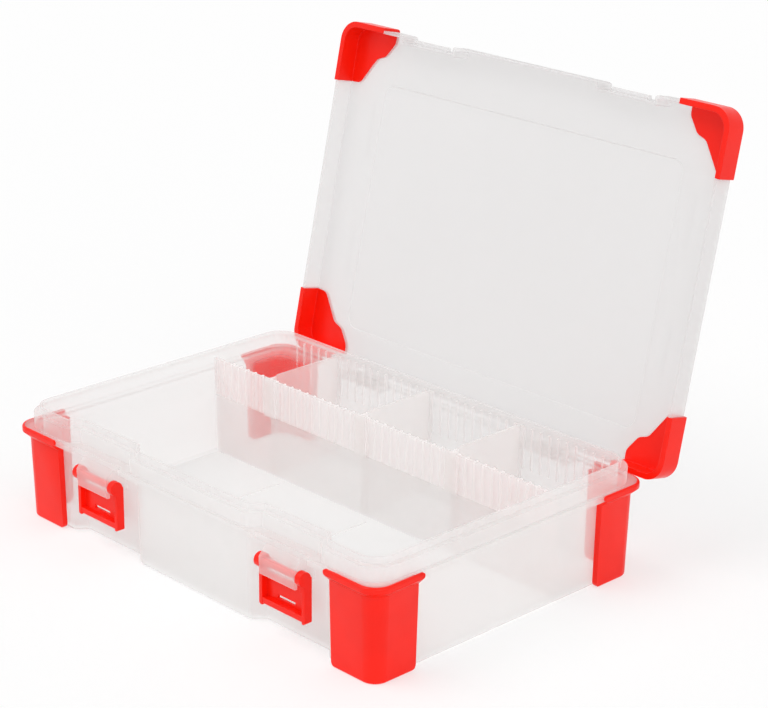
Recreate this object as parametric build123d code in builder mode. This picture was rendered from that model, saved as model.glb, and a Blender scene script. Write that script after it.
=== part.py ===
from build123d import *
import os
from math import radians, tan

# Assortment case: a clear hinged-lid compartment case with red corners and latches, standing open.
# X runs along the front, Y to the rear and Z up. The origin is the centre of the underside.
# All sizes are in millimetres and all angles in degrees.

# Tray walls
rim_length = 360.0  # outside of the rim, left to right
rim_depth = 241.0  # outside of the rim, front to rear
tray_height = 86.0
wall_draft = 1.05  # the walls lean outwards as they rise
upright_radius = 16.0  # outside of the upright corners at the rim
wall = 2.0
floor_thickness = 2.4
bottom_rounding = 3.5
inner_rounding = 3.0

# Latch recesses in the front wall
latch_spacing = 195.0  # between the middles of the two latches
recess_width = 62.0
recess_depth = 8.4
recess_ramp = 8.0  # width of each slanted side
recess_brow_radius = 5.0
recess_root_radius = 2.5

# Flange and stepped rim
flange_low = 66.5
flange_height = 4.2
flange_reach = 6.8  # beyond the rim
flange_radius = 12.6
flange_skin = 2.0
band_top = 81.2
band_reach = 4.4

# Long wall and the ribs that hold the cross dividers
long_wall_y = 50.5
long_wall_thickness = 2.0
long_wall_top = 79.0
rib_low = 50.0
rib_pitch = 8.3
rib_width = 1.4
rib_depth = 1.7
rear_rib_top = 82.0
floor_rib_spacing = 95.0
floor_rib_width = 1.6
floor_rib_height = 0.7
floor_rib_margin = 8.0

# Corner guards
guard_reach = 4.1  # beyond the foot of the wall
guard_radius = 11.0
guard_draft = 1.6
guard_leg_x = 37.5  # along the front or rear, from the rim's outside end
guard_leg_y = 33.8  # along the side
guard_rounding = 2.0
guard_corner_rounding = 4.5
guard_ear = 1.3  # how far the lip runs past each leg's end
guard_ear_rounding = 1.9
guard_lip_reach = 8.7
guard_lip_radius = 14.0
guard_lip_rounding = 1.5
guard_flare = 4.5
guard_clearance = 0.1

# Lid, in its closed place
lid_gap = 0.6  # over the flange
rim_gap = 0.4  # under the lid's panel
lid_wall = 2.2
skirt_reach = 8.2
skirt_radius = 14.0
lid_edge_rounding = 3.0
notch_width = 53.0
notch_depth = 5.1
notch_brow_radius = 1.8
field_length = 296.0
field_front = -88.0
field_rear = 105.0
field_radius = 10.0
field_rise = 0.8
field_draft = 40.0
locator_x = 160.0
locator_width = 2.6
locator_height = 1.0
locator_runs = ((-70.0, -28.0), (22.0, 70.0))
lid_open_angle = 102.35

# Catches on the lid's notches, that the latches hook over
catch_width = 34.0
catch_depth = 3.2
catch_height = 4.0
catch_drop = 8.6  # under the lid's top
catch_rounding = 0.8

# Lid corner caps
cap_reach = 10.3
cap_radius = 15.0
cap_rise = 0.7
# Corners of the wavy inner edge, measured in from the rim's corner
cap_wave = ((35.0, -19.5), (35.0, 1.0), (26.5, 12.5), (18.0, 15.5), (3.5, 36.5), (-20.0, 37.8))
cap_wave_radius = 7.0
cap_clearance = 0.1
cap_edge_rounding = 2.5

# Latches, described hanging down
latch_width = 44.5
pivot_drop = 12.9  # under the flange
pivot_stand_off = 1.0  # in front of the notch's face
knuckle_radius = 5.0
latch_gap = 0.5  # between a closed latch and the notch's face
latch_depth = 6.3
latch_skin = 2.0
rail_width = 3.0
web_drop = 9.0
hook_thickness = 5.5
hook_gap = 0.5  # over the catch
hook_set_back = 0.3  # behind the rails' near face
hook_lead = 1.6
slot_length = 17.0
slot_height = 2.5
slot_lift = 2.0  # from the hook
latch_corner_radius = 1.6
bar_radius = 2.6
bar_clearance = 0.08

# Latch lugs under the flange
lug_width = 34.0
lug_gap = 0.4
lug_front = 5.0
lug_rear = 3.6
lug_drop = 7.9  # below the pivot
lug_shoulder = 4.9  # over the pivot, where the front slants back to the flange
lug_rounding = 2.6
lug_mouth = 4.2
gusset_thickness = 2.0

# Rear hinges
hinge_spacing = 190.0
hinge_width = 46.0
hinge_stand_off = 5.05  # behind the flange
hinge_drop = 6.4  # below the flange's top
hinge_radius = 4.0
hinge_leaf_width = 18.0
hinge_side_gap = 0.3
hinge_leaf_height = 12.0
pin_radius = 1.5
pin_clearance = 0.06
pin_seat = 0.02
pin_head_radius = 2.4
pin_head = 1.0
stop_gap = 0.2

# Cross dividers
divider_places = (-14, -2, 9)  # rib gaps, counted from the middle
divider_thickness = 1.8
divider_top = 82.0
divider_lift = 0.25  # above the floor
divider_clearance = 0.3
divider_edge = 1.3
divider_round = 6.0
hook_flange_width = 12.0
hook_flange_thickness = 1.5
hook_bridge = 1.6

# Places worked out from the sizes above
rim_x = rim_length / 2
rim_y = rim_depth / 2
flange_top = flange_low + flange_height
lid_low = flange_top + lid_gap
lid_under = tray_height + rim_gap
lid_top = lid_under + lid_wall
notch_face = rim_y + skirt_reach - notch_depth
latch_places = (-latch_spacing / 2, latch_spacing / 2)
pivot_y = -(notch_face + pivot_stand_off)
pivot_z = flange_low - pivot_drop
catch_top = lid_top - catch_drop
hinge_y = rim_y + flange_reach + hinge_stand_off
hinge_z = flange_top - hinge_drop
hinge_places = (-hinge_spacing / 2, hinge_spacing / 2)
guard_end_x = rim_x - guard_leg_x
guard_end_y = rim_y - guard_leg_y
hinge_axis = Axis((0, hinge_y, hinge_z), (1, 0, 0))
lean = tan(radians(wall_draft))


def wall_offset(height):
    """How far the wall's outside lies behind the rim's outside at a height."""
    return (tray_height - height) * lean


def wall_block(low, high, grow=0.0, root_rounding=0.0):
    """The tray's outer form between two heights, moved outwards by grow and drafted as the walls are."""
    with BuildPart() as block:
        with BuildSketch(Plane.XY.offset(low)):
            add(foot_outline.sketch)
            offset(amount=wall_offset(0) - wall_offset(low) + grow)
        extrude(amount=high - low, taper=-wall_draft)
        if root_rounding:
            fillet(block.faces().sort_by(Axis.Z)[0].outer_wire().edges(), root_rounding)
    return block.part


def rounded_block(low, high, reach, radius):
    """A rounded rectangular block that stands out from the rim by reach."""
    with BuildPart() as block:
        with BuildSketch(Plane.XY.offset(low)):
            RectangleRounded(rim_length + 2 * reach, rim_depth + 2 * reach, radius)
        extrude(amount=high - low)
    return block.part


def notched_block(low, high, reach, radius, wall_in=0.0):
    """A block round the rim with the two latch notches in its front, moved inwards by wall_in."""
    with BuildPart() as block:
        with BuildSketch(Plane.XY.offset(low)) as plan:
            RectangleRounded(rim_length + 2 * reach, rim_depth + 2 * reach, radius)
            with Locations(*[(place, -notch_face) for place in latch_places]):
                Rectangle(notch_width, rim_depth, align=(Align.CENTER, Align.MAX), mode=Mode.SUBTRACT)
            front = plan.vertices().group_by(Axis.Y)[0]
            notch_limit = (latch_spacing + notch_width + notch_brow_radius) / 2
            fillet([v for v in front if abs(v.X) < notch_limit], notch_brow_radius)
            if wall_in:
                offset(amount=-wall_in, kind=Kind.INTERSECTION)
        extrude(amount=high - low)
    return block.part


def leg_block(low, high, past, radius):
    """A block over the rear right corner's two legs and past their ends, its end corners rounded."""
    with BuildPart() as block:
        with BuildSketch(Plane.XZ.offset(-rim_depth)) as rear_profile:
            with Locations((guard_end_x - past, low)):
                Rectangle(rim_length, high - low, align=Align.MIN)
            fillet(rear_profile.vertices().group_by(Axis.X)[0], radius)
        extrude(amount=2 * rim_depth)
        with BuildSketch(Plane.YZ.offset(-rim_length)) as side_profile:
            with Locations((guard_end_y - past, low)):
                Rectangle(rim_depth, high - low, align=Align.MIN)
            fillet(side_profile.vertices().group_by(Axis.X)[0], radius)
        extrude(amount=2 * rim_length, mode=Mode.INTERSECT)
    return block.part


def opened(part):
    """A lid piece turned from its closed place to its open one, about the hinge pins."""
    return part.rotate(hinge_axis, -lid_open_angle)


def placed_corner(part, side_x, side_y):
    """A piece made for the rear right corner, mirrored to another corner."""
    if side_x < 0:
        part = part.mirror(Plane.YZ)
    if side_y < 0:
        part = part.mirror(Plane.XZ)
    return part


def save(piece, name):
    """Names a finished piece and writes it."""
    piece.label = name
    export_step(piece, f"parts/{name}.step")


os.makedirs("parts", exist_ok=True)

# The tray's outline at its foot, with the two latch recesses in its front
with BuildSketch() as foot_outline:
    foot_x = rim_x - wall_offset(0)
    foot_y = rim_y - wall_offset(0)
    RectangleRounded(2 * foot_x, 2 * foot_y, upright_radius - wall_offset(0))
    for place in latch_places:
        with BuildLine():
            Polyline(
                (place - recess_width / 2 - recess_ramp, -foot_y),
                (place - recess_width / 2, -foot_y + recess_depth),
                (place + recess_width / 2, -foot_y + recess_depth),
                (place + recess_width / 2 + recess_ramp, -foot_y),
                close=True,
            )
        make_face(mode=Mode.SUBTRACT)
    recess_limit = latch_spacing / 2 + recess_width / 2 + 1.5 * recess_ramp
    brows = [v for v in foot_outline.vertices() if abs(v.X) < recess_limit and abs(v.Y + foot_y) < wall / 2]
    fillet(brows, recess_brow_radius)
    roots = [v for v in foot_outline.vertices() if abs(v.Y + foot_y - recess_depth) < wall / 2]
    fillet(roots, recess_root_radius)

# Hollows and envelopes that several pieces share
tray_form = wall_block(0, tray_height, root_rounding=bottom_rounding)
tray_inside = wall_block(floor_thickness, tray_height + wall, -wall, inner_rounding)
flange_form = notched_block(flange_low, flange_top, flange_reach, flange_radius)
flange_inside = notched_block(
    flange_low - wall, flange_top - flange_skin, flange_reach, flange_radius, flange_skin
)
flange_channel = flange_inside - wall_block(flange_low - 2 * wall, flange_top)

# Long wall and ribs
inside_y = rim_y - wall
rear_wall_low = inside_y - wall_offset(rib_low)
rear_wall_high = inside_y - wall_offset(rear_rib_top)
long_wall_rear = long_wall_y + long_wall_thickness / 2
long_wall_reach = foot_x - wall / 2
rib_count = int((rim_x - upright_radius) / rib_pitch)
rib_places = [rib_pitch * step for step in range(-rib_count, rib_count + 1)]

with BuildPart() as base_tray:
    add(tray_form)
    add(wall_block(flange_low, band_top, band_reach))
    add(flange_form)
    add(flange_channel, mode=Mode.SUBTRACT)
    add(tray_inside, mode=Mode.SUBTRACT)

    # Long wall with the ribs on its rear face, and the matching ribs on the rear wall
    with Locations((0, long_wall_y, floor_thickness / 2)):
        Box(
            2 * long_wall_reach,
            long_wall_thickness,
            long_wall_top - floor_thickness / 2,
            align=(Align.CENTER, Align.CENTER, Align.MIN),
        )
    with Locations(*[(x, long_wall_y, rib_low) for x in rib_places]):
        Box(
            rib_width,
            long_wall_thickness / 2 + rib_depth,
            long_wall_top - rib_low,
            align=(Align.CENTER, Align.MIN, Align.MIN),
        )
    with Locations(*[(x, rear_wall_high + wall / 4, rib_low) for x in rib_places]):
        Box(
            rib_width,
            rear_wall_high + wall / 4 - rear_wall_low + rib_depth,
            rear_rib_top - rib_low,
            align=(Align.CENTER, Align.MAX, Align.MIN),
        )

    # Low ribs across the front compartment's floor
    floor_rib_front = -foot_y + recess_depth + wall + floor_rib_margin
    floor_rib_rear = long_wall_y - long_wall_thickness / 2 - floor_rib_margin
    with Locations(*[(x, floor_rib_rear, floor_thickness) for x in (-floor_rib_spacing, 0, floor_rib_spacing)]):
        Box(
            floor_rib_width,
            floor_rib_rear - floor_rib_front,
            floor_rib_height,
            align=(Align.CENTER, Align.MAX, Align.MIN),
        )

    # Latch lugs: a block under the flange, round the latch's bar, tied to the wall by gussets
    lug_front_y = pivot_y - lug_front
    lug_rear_y = pivot_y + lug_rear
    recess_face = foot_y - recess_depth + wall_offset(0) - wall_offset(flange_low)
    for place in latch_places:
        with BuildSketch(Plane.YZ.offset(place - lug_width / 2)) as lug_profile:
            with BuildLine():
                Polyline(
                    (lug_front_y, pivot_z - lug_drop),
                    (lug_rear_y, pivot_z - lug_drop),
                    (lug_rear_y, flange_top - flange_skin / 2),
                    (-notch_face + flange_skin / 2, flange_top - flange_skin / 2),
                    (-notch_face + flange_skin / 2, flange_low),
                    (lug_front_y, pivot_z + lug_shoulder),
                    close=True,
                )
            make_face()
            fillet(lug_profile.vertices().group_by(Axis.Y)[0], lug_rounding / 2)
        extrude(amount=lug_width)
        for step in (-1, 0, 1):
            gusset_x = place + step * (lug_width - gusset_thickness) / 2 - gusset_thickness / 2
            with BuildSketch(Plane.YZ.offset(gusset_x)):
                with BuildLine():
                    Polyline(
                        (lug_rear_y - gusset_thickness / 2, pivot_z - lug_drop + lug_rounding),
                        (-recess_face + wall / 2, pivot_z - lug_drop + lug_rounding),
                        (-recess_face + wall / 2, flange_top - flange_skin / 2),
                        (lug_rear_y - gusset_thickness / 2, flange_top - flange_skin / 2),
                        close=True,
                    )
                make_face()
            extrude(amount=gusset_thickness)
        with BuildSketch(Plane.YZ.offset(place - lug_width)):
            with Locations((pivot_y, pivot_z)):
                Circle(bar_radius + bar_clearance)
                Rectangle(lug_mouth, 2 * lug_drop, align=(Align.CENTER, Align.MAX))
        extrude(amount=2 * lug_width, mode=Mode.SUBTRACT)

    # Rear hinge knuckles, on an apron under the flange that also stops the open lid
    base_knuckle_width = (hinge_width - hinge_leaf_width) / 2 - hinge_side_gap
    flange_face = rim_y + flange_reach
    apron_low = hinge_z - hinge_radius
    apron_high = flange_top - flange_skin / 2
    for place in hinge_places:
        with Locations((place, flange_face, apron_low)):
            Box(
                hinge_width,
                flange_skin,
                apron_high - apron_low,
                align=(Align.CENTER, Align.MAX, Align.MIN),
            )
        gusset_step = (hinge_width - gusset_thickness) / 2
        with Locations(*[(place + step * gusset_step, flange_face - flange_skin / 2, apron_low) for step in (-1, 0, 1)]):
            Box(
                gusset_thickness,
                flange_face - flange_skin / 2 - foot_y,
                apron_high - apron_low,
                align=(Align.CENTER, Align.MAX, Align.MIN),
            )
        for start in (place - hinge_width / 2, place + hinge_width / 2 - base_knuckle_width):
            with BuildSketch(Plane.YZ.offset(start)):
                with Locations((hinge_y, hinge_z)):
                    Circle(hinge_radius)
                with Locations((hinge_y, flange_top)):
                    Rectangle(
                        hinge_stand_off + flange_skin / 2,
                        hinge_drop + hinge_radius - hinge_side_gap,
                        align=(Align.MAX, Align.MAX),
                    )
                with Locations((hinge_y, hinge_z)):
                    Circle(pin_radius + pin_seat, mode=Mode.SUBTRACT)
            extrude(amount=base_knuckle_width)
save(base_tray.part, "base_tray")

# Corner guards: one for each upright corner, with a lip that flares out under the lid
flare_low = flange_low - guard_flare
flare_spread = guard_reach + flare_low * tan(radians(guard_draft))
with BuildPart() as guard_body:
    with BuildSketch():
        RectangleRounded(2 * (foot_x + guard_reach), 2 * (foot_y + guard_reach), guard_radius)
    extrude(amount=flare_low, taper=-guard_draft)
    fillet(guard_body.faces().sort_by(Axis.Z)[0].outer_wire().edges(), guard_rounding)
    with BuildSketch(Plane.XY.offset(flare_low)):
        RectangleRounded(
            2 * (foot_x + flare_spread),
            2 * (foot_y + flare_spread),
            guard_radius + flare_spread - guard_reach,
        )
    with BuildSketch(Plane.XY.offset(flange_low)):
        RectangleRounded(
            rim_length + 2 * guard_lip_reach, rim_depth + 2 * guard_lip_reach, guard_lip_radius
        )
    loft()
    legs = leg_block(0, flange_top + guard_corner_rounding, 0, guard_corner_rounding)
    add(legs, mode=Mode.INTERSECT)

with BuildPart() as guard_lip:
    add(rounded_block(flange_low, flange_top, guard_lip_reach, guard_lip_radius))
    fillet(guard_lip.faces().sort_by(Axis.Z)[-1].outer_wire().edges(), guard_lip_rounding)
    add(leg_block(flange_low, flange_top, guard_ear, guard_ear_rounding), mode=Mode.INTERSECT)

with BuildPart() as guard_seat:
    add(wall_block(-wall, flange_low, guard_clearance))
    add(
        rounded_block(
            flange_low - guard_clearance,
            flange_top + wall,
            flange_reach + guard_clearance,
            flange_radius + guard_clearance,
        )
    )

corners = {
    "front_left": (-1, -1),
    "front_right": (1, -1),
    "rear_left": (-1, 1),
    "rear_right": (1, 1),
}
with BuildPart() as guard:
    add(guard_body.part)
    add(guard_lip.part)
    add(guard_seat.part, mode=Mode.SUBTRACT)
for corner, (side_x, side_y) in corners.items():
    save(placed_corner(guard.part, side_x, side_y), f"guard_{corner}")

# Lid corner caps: they make the lid's corners, edge to edge with the clear shell
with BuildSketch() as cap_plan:
    with BuildLine():
        wave = FilletPolyline([(rim_x - x, rim_y - y) for x, y in cap_wave], radius=cap_wave_radius)
        Polyline(wave @ 1, ((wave @ 1).X, (wave @ 0).Y), wave @ 0)
    make_face()
with BuildPart() as cap_zone:
    with BuildSketch(Plane.XY.offset(lid_low - wall)):
        add(cap_plan.sketch)
    extrude(amount=lid_top + wall - lid_low + wall)
shell_zone = cap_zone.part.translate((-cap_clearance, -cap_clearance, 0))
with BuildPart() as lid_cap:
    add(rounded_block(lid_low, lid_top + cap_rise, cap_reach, cap_radius))
    fillet(lid_cap.faces().sort_by(Axis.Z)[-1].outer_wire().edges(), cap_edge_rounding)
    add(cap_zone.part, mode=Mode.INTERSECT)
    add(
        rounded_block(lid_low - wall, lid_under, skirt_reach - lid_wall, skirt_radius - lid_wall),
        mode=Mode.SUBTRACT,
    )
for corner, (side_x, side_y) in corners.items():
    save(opened(placed_corner(lid_cap.part, side_x, side_y)), f"lid_cap_{corner}")

# Lid shell, in its closed place until it is turned open
field_y = (field_front + field_rear) / 2
field_depth = field_rear - field_front
with BuildPart() as lid_shell:
    add(rounded_block(lid_low, lid_top, skirt_reach, skirt_radius))
    fillet(lid_shell.faces().sort_by(Axis.Z)[-1].outer_wire().edges(), lid_edge_rounding)
    add(notched_block(lid_low, lid_top, skirt_reach, skirt_radius), mode=Mode.INTERSECT)
    add(notched_block(lid_low - wall, lid_under, skirt_reach, skirt_radius, lid_wall), mode=Mode.SUBTRACT)
    for level, mode in ((lid_top, Mode.ADD), (lid_under, Mode.SUBTRACT)):
        with BuildSketch(Plane.XY.offset(level)):
            with Locations((0, field_y)):
                RectangleRounded(field_length, field_depth, field_radius)
        extrude(amount=field_rise, taper=field_draft, mode=mode)
    for front, rear in locator_runs:
        with Locations((-locator_x, front, lid_top), (locator_x, front, lid_top)):
            Box(locator_width, rear - front, locator_height, align=(Align.CENTER, Align.MIN, Align.MIN))
    for place in latch_places:
        with BuildSketch(Plane.YZ.offset(place - catch_width / 2)) as catch_profile:
            with Locations((-notch_face + lid_wall / 2, catch_top)):
                Rectangle(catch_depth + lid_wall / 2, catch_height, align=Align.MAX)
            fillet(catch_profile.vertices().group_by(Axis.X)[0], catch_rounding)
        extrude(amount=catch_width)
    for side_x, side_y in corners.values():
        add(placed_corner(shell_zone, side_x, side_y), mode=Mode.SUBTRACT)

    # Hinge knuckles: a leaf down from the skirt, and a heel that stops the open lid at the flange
    skirt_y = rim_y + skirt_reach
    for place in hinge_places:
        with BuildSketch(Plane.YZ.offset(place - hinge_leaf_width / 2)):
            with BuildLine():
                Polyline(
                    (hinge_y, hinge_z),
                    (skirt_y - lid_wall / 2, lid_low),
                    (skirt_y - lid_wall / 2, lid_low + hinge_leaf_height),
                    (skirt_y + lid_wall / 2, lid_low + hinge_leaf_height),
                    (hinge_y + hinge_radius, hinge_z),
                    close=True,
                )
            make_face()
            with Locations((hinge_y, hinge_z)):
                Circle(hinge_radius)
                Rectangle(
                    hinge_stand_off - stop_gap,
                    hinge_radius,
                    rotation=lid_open_angle,
                    align=(Align.MAX, Align.MAX),
                )
                Circle(pin_radius + pin_clearance, mode=Mode.SUBTRACT)
        extrude(amount=hinge_leaf_width)
save(opened(lid_shell.part), "lid_shell")

# Hinge pins
for side, place in zip(("left", "right"), hinge_places):
    with BuildPart() as hinge_pin:
        with BuildSketch(Plane.YZ.offset(place - hinge_width / 2)):
            with Locations((hinge_y, hinge_z)):
                Circle(pin_radius)
        extrude(amount=hinge_width)
        with BuildSketch(Plane.YZ.offset(place - hinge_width / 2 - pin_head)):
            with Locations((hinge_y, hinge_z)):
                Circle(pin_head_radius)
        extrude(amount=pin_head)
    save(hinge_pin.part, f"hinge_pin_{side}")

# Latches, hanging open in their recesses
rail_near = pivot_y - pivot_stand_off + latch_gap
rail_far = rail_near + latch_depth
hook_low = 2 * pivot_z - catch_top - hook_gap
latch_tip = hook_low - hook_thickness
hook_tip = rail_near + hook_set_back
hook_width = latch_width - rail_width
arm_inside = lug_width / 2 + lug_gap
for side, place in zip(("left", "right"), latch_places):
    with BuildPart() as latch:
        # Rails and the arms that carry them, round the pivot
        for start, width, low in (
            (place - latch_width / 2, rail_width, latch_tip),
            (place + latch_width / 2 - rail_width, rail_width, latch_tip),
            (place - latch_width / 2, latch_width / 2 - arm_inside, pivot_z - web_drop - latch_skin),
            (place + arm_inside, latch_width / 2 - arm_inside, pivot_z - web_drop - latch_skin),
        ):
            with BuildSketch(Plane.YZ.offset(start)) as side_profile:
                with BuildLine():
                    Polyline(
                        (pivot_y, pivot_z + knuckle_radius),
                        (rail_far, pivot_z),
                        (rail_far, low),
                        (rail_near, low),
                        (rail_near, pivot_z - knuckle_radius / 2),
                        (pivot_y, pivot_z),
                        close=True,
                    )
                make_face()
                with Locations((pivot_y, pivot_z)):
                    Circle(knuckle_radius)
            extrude(amount=width)
        # Web between the rails, with the hook on its end and a slot over the hook
        with Locations((place, rail_far, latch_tip)):
            Box(
                latch_width,
                latch_skin,
                pivot_z - web_drop - latch_tip,
                align=(Align.CENTER, Align.MAX, Align.MIN),
            )
        with BuildSketch(Plane.YZ.offset(place - hook_width / 2)) as hook_profile:
            with BuildLine():
                Polyline(
                    (rail_far - latch_skin / 2, latch_tip),
                    (rail_far - latch_skin / 2, hook_low),
                    (hook_tip, hook_low),
                    (hook_tip, latch_tip + hook_lead),
                    (hook_tip + hook_lead, latch_tip),
                    close=True,
                )
            make_face()
        extrude(amount=hook_width)
        with Locations((place, rail_far + latch_skin, hook_low + slot_lift)):
            Box(
                slot_length,
                3 * latch_skin,
                slot_height,
                align=(Align.CENTER, Align.MAX, Align.MIN),
                mode=Mode.SUBTRACT,
            )
        # Pivot bar
        with BuildSketch(Plane.YZ.offset(place - arm_inside)):
            with Locations((pivot_y, pivot_z)):
                Circle(bar_radius)
        extrude(amount=2 * arm_inside)
        tips = latch.edges().filter_by(Axis.Y).group_by(Axis.Z)[0].sort_by(Axis.X)
        fillet([tips[0], tips[-1]], latch_corner_radius)
    save(latch.part, f"latch_{side}")

# Cross dividers: a plate between the walls, edges that fit between ribs, a hook over the long wall
divider_low = floor_thickness + divider_lift
plate_front = long_wall_rear + divider_clearance
rear_foot = inside_y - wall_offset(divider_low) - divider_clearance
rear_head = inside_y - wall_offset(divider_top) - divider_clearance
edge_low = divider_low + inner_rounding
edge_foot = inside_y - wall_offset(edge_low) - divider_clearance
bridge_low = long_wall_top + divider_clearance
hook_rear = long_wall_y - long_wall_thickness / 2 - divider_clearance
edge_width = rib_pitch - rib_width - 2 * divider_clearance
for side, gap in zip(("left", "middle", "right"), divider_places):
    place = rib_pitch * (gap + 0.5)
    with BuildPart() as divider:
        with BuildSketch(Plane.YZ.offset(place - divider_thickness / 2)) as plate_profile:
            with BuildLine():
                Polyline(
                    (plate_front, divider_low),
                    (rear_foot, divider_low),
                    (rear_head, divider_top),
                    (plate_front, divider_top),
                    close=True,
                )
            make_face()
            fillet(plate_profile.vertices().group_by(Axis.X)[0].sort_by(Axis.Y)[-1], divider_round)
            chamfer(plate_profile.vertices().group_by(Axis.Y)[0].sort_by(Axis.X)[-1], inner_rounding)
        extrude(amount=divider_thickness)
        with Locations((place, hook_rear - hook_flange_thickness, bridge_low)):
            Box(
                divider_thickness,
                plate_front + divider_round - hook_rear + hook_flange_thickness,
                hook_bridge,
                align=(Align.CENTER, Align.MIN, Align.MIN),
            )
        with BuildSketch(Plane.YZ.offset(place - edge_width / 2)):
            with BuildLine():
                Polyline(
                    (edge_foot - divider_edge, edge_low),
                    (edge_foot, edge_low),
                    (rear_head, divider_top),
                    (rear_head - divider_edge, divider_top),
                    close=True,
                )
            make_face()
            with Locations((plate_front, divider_low)):
                Rectangle(divider_edge, long_wall_top - divider_low, align=Align.MIN)
        extrude(amount=edge_width)
        with Locations((place, hook_rear, rib_low)):
            Box(
                hook_flange_width,
                hook_flange_thickness,
                bridge_low + hook_bridge - rib_low,
                align=(Align.CENTER, Align.MAX, Align.MIN),
            )
    save(divider.part, f"divider_{side}")
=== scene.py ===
"""Assortment case: the looks of its moulded pieces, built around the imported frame, as a Blender add-on."""
import math

import bmesh
import bpy
import numpy as np
from bpy.props import FloatProperty, FloatVectorProperty, PointerProperty
from mathutils import Matrix, Vector


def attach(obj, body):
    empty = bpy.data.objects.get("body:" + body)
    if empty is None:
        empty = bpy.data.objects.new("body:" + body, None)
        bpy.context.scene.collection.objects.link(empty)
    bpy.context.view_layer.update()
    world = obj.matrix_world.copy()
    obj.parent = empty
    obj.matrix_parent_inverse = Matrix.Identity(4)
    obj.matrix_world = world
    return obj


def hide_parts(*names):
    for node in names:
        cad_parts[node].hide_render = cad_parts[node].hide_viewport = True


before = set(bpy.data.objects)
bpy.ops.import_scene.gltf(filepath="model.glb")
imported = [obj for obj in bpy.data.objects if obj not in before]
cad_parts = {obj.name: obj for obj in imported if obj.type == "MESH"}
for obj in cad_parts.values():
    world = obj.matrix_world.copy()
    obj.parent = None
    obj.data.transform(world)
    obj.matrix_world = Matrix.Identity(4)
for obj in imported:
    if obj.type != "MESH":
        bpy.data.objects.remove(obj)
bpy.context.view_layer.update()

bl_info = {
    "name": "Assortment case",
    "version": (1, 0, 0),
    "blender": (4, 5, 0),
    "location": "3D View > Sidebar > Case",
    "description": "Dresses a clear hinged-lid compartment case with red corners and latches",
    "category": "Object",
}

MM = 0.001
CORNERS = ("front_left", "front_right", "rear_left", "rear_right")
SIDES = ("left", "right")
DIVIDERS = ("left", "middle", "right")

# Photograph's viewpoint: place and reach in metres, lens and sensor in millimetres
CAMERA_PLACE = (1.11635, -1.01902, 0.70193)
CAMERA_FORWARD = (-0.67485, 0.65148, -0.34664)
CAMERA_UP = (-0.25649, 0.23337, 0.93795)
CAMERA_LENS = 109.08
CAMERA_SENSOR = 36.0
CAMERA_REACH = 50.0

# Lamps: the direction that each shines in, and how wide the sun that it stands for is
KEY_AIM = (0.35, 0.45, -0.82)
KEY_WIDTH = math.radians(40.0)
FILL_AIM = (-0.75, 0.3, -0.45)
FILL_WIDTH = math.radians(60.0)

# Floor, from the middle to each side in metres, and its lightness
FLOOR_REACH = 6.0
FLOOR_WHITE = 0.99

# Bounces, enough for light to cross every wall and rib of the clear plastic
THROUGH_BOUNCES = 32
ALL_BOUNCES = 16
DIFFUSE_BOUNCES = 8

# Places on the tray, in metres
RIB_PITCH = 8.3 * MM
RIB_WIDTH = 1.4 * MM
RIB_LOW = 50.0 * MM
RIB_EDGE = 0.4 * MM
BAND_Y = 51.8 * MM
BAND_REACH = 2.6 * MM
BAND_END_X = 176.5 * MM
GUARD_END_X = 142.5 * MM
GUARD_END_Y = 86.7 * MM
GUARD_TOP = 66.5 * MM
CONTACT_EDGE = 5.0 * MM

# On a latch, how far the hook's end stands back from the rails' near face
HOOK_SET_BACK = 0.3 * MM
HOOK_ROUNDING_SHARE = 0.45  # what the rounding of each may take of it without a fold

# Clean-up of the CAD nodes' copies, and the edges that are rounded
MERGE_DISTANCE = 0.002 * MM
FLAT_ANGLE = math.radians(0.4)
EDGE_ANGLE = math.radians(32.0)
EDGE_SEGMENTS = 2

# Both plastics; a noise scale is in features per metre
PLASTIC_IOR = 1.49
NOISE_LOW = 0.3
NOISE_HIGH = 0.7

# Clear plastic: one broad cloud moves its colour, its roughness and what it hides
CLOUD_SCALE = 6.0
CLOUD_DARKNESS = 0.985
CLOUD_COVER = 0.01
CLEAR_ROUGHNESS = (0.29, 0.33)

# Red plastic: flow marks in the colour, patches of satin, and a fine grain
FLOW_SCALE = 30.0
FLOW_DETAIL = 3.0
FLOW_DARKNESS = (0.93, 0.85, 0.85)
SATIN_SCALE = 90.0
RED_ROUGHNESS = (0.28, 0.38)
RED_SPECULAR = 0.25
GRAIN_SCALE = 900.0
GRAIN_STRENGTH = 0.15
GRAIN_DEPTH = 0.12 * MM


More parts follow.
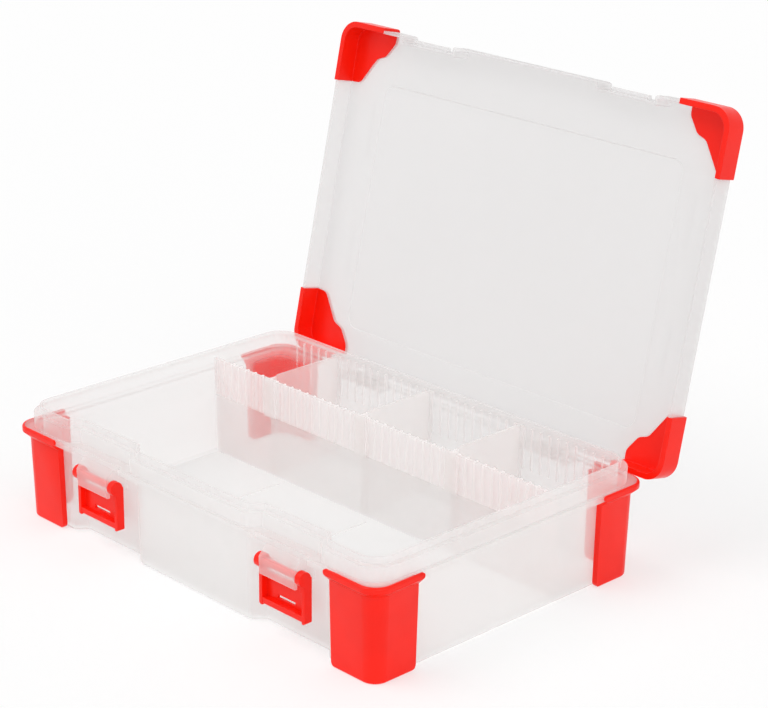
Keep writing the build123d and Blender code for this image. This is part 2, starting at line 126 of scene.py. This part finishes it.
class CaseSettings(bpy.types.PropertyGroup):
    """Colours, finishes and light that a user would change."""

    tray_colour: FloatVectorProperty(
        name="Clear tray",
        description="Milky colour of the tray and the dividers",
        subtype="COLOR",
        default=(0.945, 0.93, 0.922),
        min=0.0,
        max=1.0,
    )
    # Partly painted light: a whiter copy of the tray's milky colour, standing in for the extra light the
    # ribbed band catches, and partly the whiter look of its thicker plastic
    band_lit_colour: FloatVectorProperty(
        name="Clear band",
        description="Milky colour of the ribbed band on the long wall, which is thicker",
        subtype="COLOR",
        default=(1.0, 0.985, 0.98),
        min=0.0,
        max=1.0,
    )
    # Painted shade: the lid's milky colour is greyer than the tray's, standing in for the lid lying in less
    # light
    lid_shaded_colour: FloatVectorProperty(
        name="Clear lid",
        description="Milky colour of the lid",
        subtype="COLOR",
        default=(0.88, 0.867, 0.866),
        min=0.0,
        max=1.0,
    )
    tray_cover: FloatProperty(
        name="Tray cover",
        description="Share of what lies behind that one face of the tray hides",
        subtype="FACTOR",
        default=0.27,
        min=0.0,
        max=1.0,
    )
    lid_cover: FloatProperty(
        name="Lid cover",
        description="Share of what lies behind that one face of the lid hides",
        subtype="FACTOR",
        default=0.46,
        min=0.0,
        max=1.0,
    )
    edge_cover: FloatProperty(
        name="Grazing cover",
        description="How much more a face hides where it is seen edge on",
        subtype="FACTOR",
        default=0.45,
        min=0.0,
        max=1.0,
    )
    band_cover: FloatProperty(
        name="Band cover",
        description="How much more the long wall hides along its ribbed band",
        subtype="FACTOR",
        default=0.22,
        min=0.0,
        max=1.0,
    )
    rib_cover: FloatProperty(
        name="Rib cover",
        description="How much more again the ribs of that band hide",
        subtype="FACTOR",
        default=0.22,
        min=0.0,
        max=1.0,
    )
    contact_cover: FloatProperty(
        name="Contact cover",
        description="How much less the tray hides of the guards that touch it",
        subtype="FACTOR",
        default=0.17,
        min=0.0,
        max=1.0,
    )
    soak_share: FloatProperty(
        name="Soaking light",
        description="Share of the light on the milky plastic that soaks through it instead of turning back",
        subtype="FACTOR",
        default=0.42,
        min=0.0,
        max=1.0,
    )
    red_colour: FloatVectorProperty(
        name="Red plastic",
        description="Colour of the guards, the caps and the latches",
        subtype="COLOR",
        default=(0.98, 0.013, 0.003),
        min=0.0,
        max=1.0,
    )
    edge_width: FloatProperty(
        name="Edge rounding",
        description="Width of the small roundings on moulded edges",
        subtype="DISTANCE",
        unit="LENGTH",
        default=0.4 * MM,
        min=0.0,
        max=2.0 * MM,
    )
    floor_lightness: FloatProperty(
        name="Floor lightness",
        description="Share of the floor that the camera sees as plain white, free of the shadow",
        subtype="FACTOR",
        default=0.55,
        min=0.0,
        max=1.0,
    )
    sky_strength: FloatProperty(
        name="Sky",
        description="Strength of the even light from all round",
        default=0.62,
        min=0.0,
        max=2.0,
    )
    key_strength: FloatProperty(
        name="Key light",
        description="Strength of the soft light from above the left front",
        default=0.9,
        min=0.0,
        max=10.0,
    )
    fill_strength: FloatProperty(
        name="Fill light",
        description="Strength of the soft light from the right",
        default=0.85,
        min=0.0,
        max=10.0,
    )


def new_material(name):
    """An empty node material with its Principled shader and output, joined."""
    material = bpy.data.materials.new(name)
    material.use_nodes = True
    tree = material.node_tree
    tree.nodes.clear()
    shader = tree.nodes.new("ShaderNodeBsdfPrincipled")
    output = tree.nodes.new("ShaderNodeOutputMaterial")
    tree.links.new(shader.outputs["BSDF"], output.inputs["Surface"])
    return material, tree, shader


def noise(tree, scale, detail=2.0):
    """A noise pattern that stays with the object."""
    place = tree.nodes.new("ShaderNodeTexCoord")
    pattern = tree.nodes.new("ShaderNodeTexNoise")
    pattern.inputs["Scale"].default_value = scale
    pattern.inputs["Detail"].default_value = detail
    tree.links.new(place.outputs["Object"], pattern.inputs["Vector"])
    return pattern.outputs["Fac"]


def map_range(tree, value, start, end, first, last):
    """Maps a value from start to end onto first to last, and holds it level outside."""
    ramp = tree.nodes.new("ShaderNodeMapRange")
    for name, number in (("From Min", start), ("From Max", end), ("To Min", first), ("To Max", last)):
        ramp.inputs[name].default_value = number
    tree.links.new(value, ramp.inputs["Value"])
    return ramp.outputs["Result"]


def spread(tree, value, low, high):
    """Maps a noise pattern's usual range onto low to high."""
    return map_range(tree, value, NOISE_LOW, NOISE_HIGH, low, high)


def fade(tree, value, start, end):
    """1 up to start, then falling to 0 at end; or the other way where end is the smaller."""
    return map_range(tree, value, start, end, 1.0, 0.0)


def tint(tree, share, first, second):
    """The first colour with a share of the second in it; the first may be a node's output."""
    blend = tree.nodes.new("ShaderNodeMix")
    blend.data_type = "RGBA"
    start, end = (socket for socket in blend.inputs if socket.type == "RGBA")
    if isinstance(first, tuple):
        start.default_value = (*first, 1.0)
    else:
        tree.links.new(first, start)
    end.default_value = (*second, 1.0)
    tree.links.new(share, blend.inputs["Factor"])
    return next(socket for socket in blend.outputs if socket.type == "RGBA")


def bump(tree, shader, value, strength, depth):
    """Roughens the surface by a pattern, strength as a share and depth in metres."""
    relief = tree.nodes.new("ShaderNodeBump")
    relief.inputs["Strength"].default_value = strength
    relief.inputs["Distance"].default_value = depth
    tree.links.new(value, relief.inputs["Height"])
    tree.links.new(relief.outputs["Normal"], shader.inputs["Normal"])


def mix_shaders(tree, share, first, second):
    """The first shader with a share of the second in it."""
    mix = tree.nodes.new("ShaderNodeMixShader")
    if isinstance(share, float):
        mix.inputs["Fac"].default_value = share
    else:
        tree.links.new(share, mix.inputs["Fac"])
    tree.links.new(first, mix.inputs[1])
    tree.links.new(second, mix.inputs[2])
    return mix.outputs["Shader"]


def finish_with(tree, shader):
    """Joins a shader to the material's output, in place of the one that was there."""
    output = next(node for node in tree.nodes if node.type == "OUTPUT_MATERIAL")
    tree.links.new(shader, output.inputs["Surface"])


def calculate(tree, operation, *values):
    """The result of a sum on node outputs and plain numbers."""
    step = tree.nodes.new("ShaderNodeMath")
    step.operation = operation
    for place, value in enumerate(values):
        if isinstance(value, float):
            step.inputs[place].default_value = value
        else:
            tree.links.new(value, step.inputs[place])
    return step.outputs["Value"]


def coordinates(tree):
    """The object's own x, y and z at a point of the surface."""
    place = tree.nodes.new("ShaderNodeTexCoord")
    parts = tree.nodes.new("ShaderNodeSeparateXYZ")
    tree.links.new(place.outputs["Object"], parts.inputs["Vector"])
    return [parts.outputs[axis] for axis in "XYZ"]


def band_share(tree):
    """1 on the ribbed band along the top of the long wall, up to the side walls."""
    x, y, z = coordinates(tree)
    from_band = calculate(tree, "ABSOLUTE", calculate(tree, "SUBTRACT", y, BAND_Y))
    length = fade(tree, calculate(tree, "ABSOLUTE", x), BAND_END_X, BAND_END_X + RIB_EDGE)
    depth = fade(tree, from_band, BAND_REACH, BAND_REACH + RIB_EDGE)
    height = fade(tree, z, RIB_LOW, RIB_LOW - RIB_EDGE)
    return calculate(tree, "MULTIPLY", length, calculate(tree, "MULTIPLY", depth, height))


def rib_share(tree):
    """1 on the ribs, which stand at every whole rib pitch from the middle."""
    from_rib = calculate(tree, "PINGPONG", coordinates(tree)[0], RIB_PITCH / 2)
    return fade(tree, from_rib, RIB_WIDTH / 2, RIB_WIDTH / 2 + RIB_EDGE)


def contact_share(tree):
    """1 where a guard lies against the wall, fading out softly at the guard's edges."""
    x, y, z = coordinates(tree)
    along_x = fade(tree, calculate(tree, "ABSOLUTE", x), GUARD_END_X + CONTACT_EDGE, GUARD_END_X)
    along_y = fade(tree, calculate(tree, "ABSOLUTE", y), GUARD_END_Y + CONTACT_EDGE, GUARD_END_Y)
    in_height = fade(tree, z, GUARD_TOP - CONTACT_EDGE, GUARD_TOP)
    return calculate(tree, "MULTIPLY", calculate(tree, "MULTIPLY", along_x, along_y), in_height)


def clear_material(name, colour, cover, settings, is_tray):
    """Slightly milky clear moulded plastic.

    What a face hides is its cover, a little cloudy, plus the square of how far it turns away. On the
    tray, the thick band and its ribs add to it, and it is less where a guard lies against the wall. Of
    the light on what is hidden, the soak share comes out on the far side.
    """
    material, tree, shader = new_material(name)
    cloud = noise(tree, CLOUD_SCALE, 0.0)
    dark = tuple(CLOUD_DARKNESS * part for part in colour)
    milk = tint(tree, spread(tree, cloud, 0.0, 1.0), dark, tuple(colour))
    tree.links.new(spread(tree, cloud, *CLEAR_ROUGHNESS), shader.inputs["Roughness"])
    shader.inputs["IOR"].default_value = PLASTIC_IOR

    facing = tree.nodes.new("ShaderNodeLayerWeight")
    facing.inputs["Blend"].default_value = 0.5
    turned = calculate(tree, "POWER", facing.outputs["Facing"], 2.0)
    face_on = spread(tree, cloud, cover - CLOUD_COVER, cover + CLOUD_COVER)
    total = calculate(tree, "MULTIPLY_ADD", turned, settings.edge_cover, face_on)
    if is_tray:
        band = band_share(tree)
        thick = calculate(tree, "MULTIPLY_ADD", rib_share(tree), settings.rib_cover, settings.band_cover)
        total = calculate(tree, "MULTIPLY_ADD", band, thick, total)
        # Painted light: the band is tinted towards the whiter band colour so it looks more brightly lit than
        # the wall below
        milk = tint(tree, band, milk, tuple(settings.band_lit_colour))
        total = calculate(tree, "MULTIPLY_ADD", contact_share(tree), -settings.contact_cover, total)
    total = calculate(tree, "MINIMUM", total, 1.0)
    tree.links.new(milk, shader.inputs["Base Color"])
    tree.links.new(total, shader.inputs["Alpha"])

    clear = tree.nodes.new("ShaderNodeBsdfTransparent")
    soaked = tree.nodes.new("ShaderNodeBsdfTranslucent")
    tree.links.new(milk, soaked.inputs["Color"])
    far_side = mix_shaders(tree, total, clear.outputs["BSDF"], soaked.outputs["BSDF"])
    finish_with(tree, mix_shaders(tree, settings.soak_share, shader.outputs["BSDF"], far_side))
    return material


def red_material(name, colour):
    """Opaque moulded plastic with a fine satin grain and faint flow marks."""
    material, tree, shader = new_material(name)
    flow = spread(tree, noise(tree, FLOW_SCALE, FLOW_DETAIL), 0.0, 1.0)
    dark = tuple(share * part for share, part in zip(FLOW_DARKNESS, colour))
    tree.links.new(tint(tree, flow, dark, tuple(colour)), shader.inputs["Base Color"])
    tree.links.new(spread(tree, noise(tree, SATIN_SCALE), *RED_ROUGHNESS), shader.inputs["Roughness"])
    bump(tree, shader, noise(tree, GRAIN_SCALE), GRAIN_STRENGTH, GRAIN_DEPTH)
    shader.inputs["IOR"].default_value = PLASTIC_IOR
    shader.inputs["Specular IOR Level"].default_value = RED_SPECULAR
    return material


def dress(node, material):
    """Gives a CAD node its material."""
    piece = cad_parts[node]
    piece.data.materials.clear()
    piece.data.materials.append(material)
    return piece


def moulded(node, body, material, rounding):
    """Stands in for a CAD node with a merged copy, smoothly shaded and with its edges rounded."""
    source = dress(node, material)
    shape = bmesh.new()
    shape.from_mesh(source.data)
    bmesh.ops.remove_doubles(shape, verts=shape.verts, dist=MERGE_DISTANCE)
    bmesh.ops.dissolve_limit(shape, angle_limit=FLAT_ANGLE, verts=shape.verts, edges=shape.edges)
    mesh = bpy.data.meshes.new(f"{node}_moulded")
    shape.to_mesh(mesh)
    shape.free()
    mesh.polygons.foreach_set("use_smooth", np.ones(len(mesh.polygons), bool))
    mesh.set_sharp_from_angle(angle=EDGE_ANGLE)
    piece = bpy.data.objects.new(f"{node}_moulded", mesh)
    bpy.context.scene.collection.objects.link(piece)
    mesh.materials.clear()
    mesh.materials.append(material)
    edges = piece.modifiers.new("edges", "BEVEL")
    edges.width = rounding
    edges.segments = EDGE_SEGMENTS
    edges.limit_method = "ANGLE"
    edges.angle_limit = EDGE_ANGLE
    edges.harden_normals = True
    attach(piece, body)
    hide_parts(node)
    return piece


class CASE_OT_clear_pieces(bpy.types.Operator):
    """Finish the tray, the lid shell, the dividers and the hinge pins in clear plastic"""

    bl_idname = "case.clear_pieces"
    bl_label = "Clear pieces"

    def execute(self, context):
        settings = context.scene.case_settings
        tray = clear_material(
            "clear_plastic", settings.tray_colour, settings.tray_cover, settings, is_tray=True
        )
        # The lid gets a greyer, painted-shade copy of the clear plastic
        lid = clear_material(
            "clear_plastic_lid_shaded", settings.lid_shaded_colour, settings.lid_cover, settings, is_tray=False
        )
        rounding = settings.edge_width
        moulded("base_tray", "tray", tray, rounding)
        moulded("lid_shell", "lid", lid, rounding)
        for side in DIVIDERS:
            moulded(f"divider_{side}", f"divider_{side}", tray, rounding)
        for side in SIDES:
            dress(f"hinge_pin_{side}", tray)
        return {"FINISHED"}


class CASE_OT_red_pieces(bpy.types.Operator):
    """Finish the corner guards, the lid caps and the latches in red plastic"""

    bl_idname = "case.red_pieces"
    bl_label = "Red pieces"

    def execute(self, context):
        settings = context.scene.case_settings
        red = red_material("red_plastic", settings.red_colour)
        rounding = settings.edge_width
        for corner in CORNERS:
            moulded(f"guard_{corner}", "tray", red, rounding)
            moulded(f"lid_cap_{corner}", "lid", red, rounding)
        latch_rounding = min(rounding, HOOK_ROUNDING_SHARE * HOOK_SET_BACK)
        for side in SIDES:
            moulded(f"latch_{side}", f"latch_{side}", red, latch_rounding)
        return {"FINISHED"}


def camera_rays(tree):
    """1 for what the camera sees directly, in a reflection or through the plastic, and 0 for light."""
    path = tree.nodes.new("ShaderNodeLightPath")
    seen = path.outputs["Is Camera Ray"]
    for kind in ("Is Glossy Ray", "Is Transmission Ray"):
        seen = calculate(tree, "MAXIMUM", seen, path.outputs[kind])
    return seen


def make_world(scene, settings):
    """White where it is seen, and an even soft light elsewhere."""
    world = bpy.data.worlds.new("studio")
    scene.world = world
    world.use_nodes = True
    tree = world.node_tree
    tree.nodes.clear()
    light = tree.nodes.new("ShaderNodeBackground")
    light.inputs["Strength"].default_value = settings.sky_strength
    seen = tree.nodes.new("ShaderNodeBackground")
    seen.inputs["Strength"].default_value = 1.0
    for background in (light, seen):
        background.inputs["Color"].default_value = (1.0, 1.0, 1.0, 1.0)
    whole = mix_shaders(tree, camera_rays(tree), light.outputs["Background"], seen.outputs["Background"])
    output = tree.nodes.new("ShaderNodeOutputWorld")
    tree.links.new(whole, output.inputs["Surface"])


def make_floor(scene, settings):
    """A matt floor that takes the shadow, lightened where it is seen."""
    corners = FLOOR_REACH * np.array([(-1, -1, 0), (1, -1, 0), (1, 1, 0), (-1, 1, 0)], float)
    mesh = bpy.data.meshes.new("floor")
    mesh.from_pydata(corners.tolist(), [], [(0, 1, 2, 3)])
    floor = bpy.data.objects.new("floor", mesh)
    scene.collection.objects.link(floor)
    material, tree, shader = new_material("floor_white")
    shader.inputs["Base Color"].default_value = (FLOOR_WHITE, FLOOR_WHITE, FLOOR_WHITE, 1.0)
    shader.inputs["Roughness"].default_value = 1.0
    shader.inputs["Specular IOR Level"].default_value = 0.0
    plain = tree.nodes.new("ShaderNodeEmission")
    share = calculate(tree, "MULTIPLY", camera_rays(tree), settings.floor_lightness)
    finish_with(tree, mix_shaders(tree, share, shader.outputs["BSDF"], plain.outputs["Emission"]))
    mesh.materials.append(material)


def make_lamp(scene, name, strength, aim, width):
    """A soft lamp that shines along aim from far away."""
    lamp = bpy.data.lights.new(name, "SUN")
    lamp.energy = strength
    lamp.angle = width
    holder = bpy.data.objects.new(name, lamp)
    holder.rotation_euler = Vector(aim).to_track_quat("-Z", "Y").to_euler()
    scene.collection.objects.link(holder)


def make_camera(scene):
    """The camera at the photograph's viewpoint."""
    forward = Vector(CAMERA_FORWARD).normalized()
    right = forward.cross(Vector(CAMERA_UP)).normalized()
    up = right.cross(forward)
    data = bpy.data.cameras.new("camera")
    data.sensor_fit = "HORIZONTAL"
    data.sensor_width = CAMERA_SENSOR
    data.lens = CAMERA_LENS
    data.clip_end = CAMERA_REACH
    camera = bpy.data.objects.new("camera", data)
    turn = Matrix((right, up, -forward)).transposed().to_4x4()
    camera.matrix_world = Matrix.Translation(CAMERA_PLACE) @ turn
    scene.collection.objects.link(camera)
    scene.camera = camera


class CASE_OT_stage(bpy.types.Operator):
    """Make the plain floor, the even sky, the soft lamps and the camera"""

    bl_idname = "case.stage"
    bl_label = "Stage"

    def execute(self, context):
        settings = context.scene.case_settings
        scene = context.scene
        scene.view_settings.view_transform = "Standard"
        scene.cycles.transparent_max_bounces = THROUGH_BOUNCES
        scene.cycles.max_bounces = ALL_BOUNCES
        scene.cycles.diffuse_bounces = DIFFUSE_BOUNCES
        make_world(scene, settings)
        make_floor(scene, settings)
        make_lamp(scene, "key", settings.key_strength, KEY_AIM, KEY_WIDTH)
        make_lamp(scene, "fill", settings.fill_strength, FILL_AIM, FILL_WIDTH)
        make_camera(scene)
        return {"FINISHED"}


class CASE_PT_panel(bpy.types.Panel):
    """Lists the steps that dress the case"""

    bl_idname = "CASE_PT_panel"
    bl_label = "Assortment case"
    bl_space_type = "VIEW_3D"
    bl_region_type = "UI"
    bl_category = "Case"

    def draw(self, context):
        settings = context.scene.case_settings
        for name in settings.__annotations__:
            self.layout.prop(settings, name)
        for step in STEPS:
            self.layout.operator(step.bl_idname)


STEPS = (CASE_OT_clear_pieces, CASE_OT_red_pieces, CASE_OT_stage)
CLASSES = (CaseSettings, *STEPS, CASE_PT_panel)


def register():
    """Adds the settings, the operators and the panel to Blender."""
    for item in CLASSES:
        bpy.utils.register_class(item)
    bpy.types.Scene.case_settings = PointerProperty(type=CaseSettings)


def unregister():
    """Takes them away again."""
    del bpy.types.Scene.case_settings
    for item in reversed(CLASSES):
        bpy.utils.unregister_class(item)


def main():
    """Registers the add-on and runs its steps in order."""
    register()
    bpy.ops.case.clear_pieces()
    bpy.ops.case.red_pieces()
    bpy.ops.case.stage()


if __name__ == "__main__":
    main()
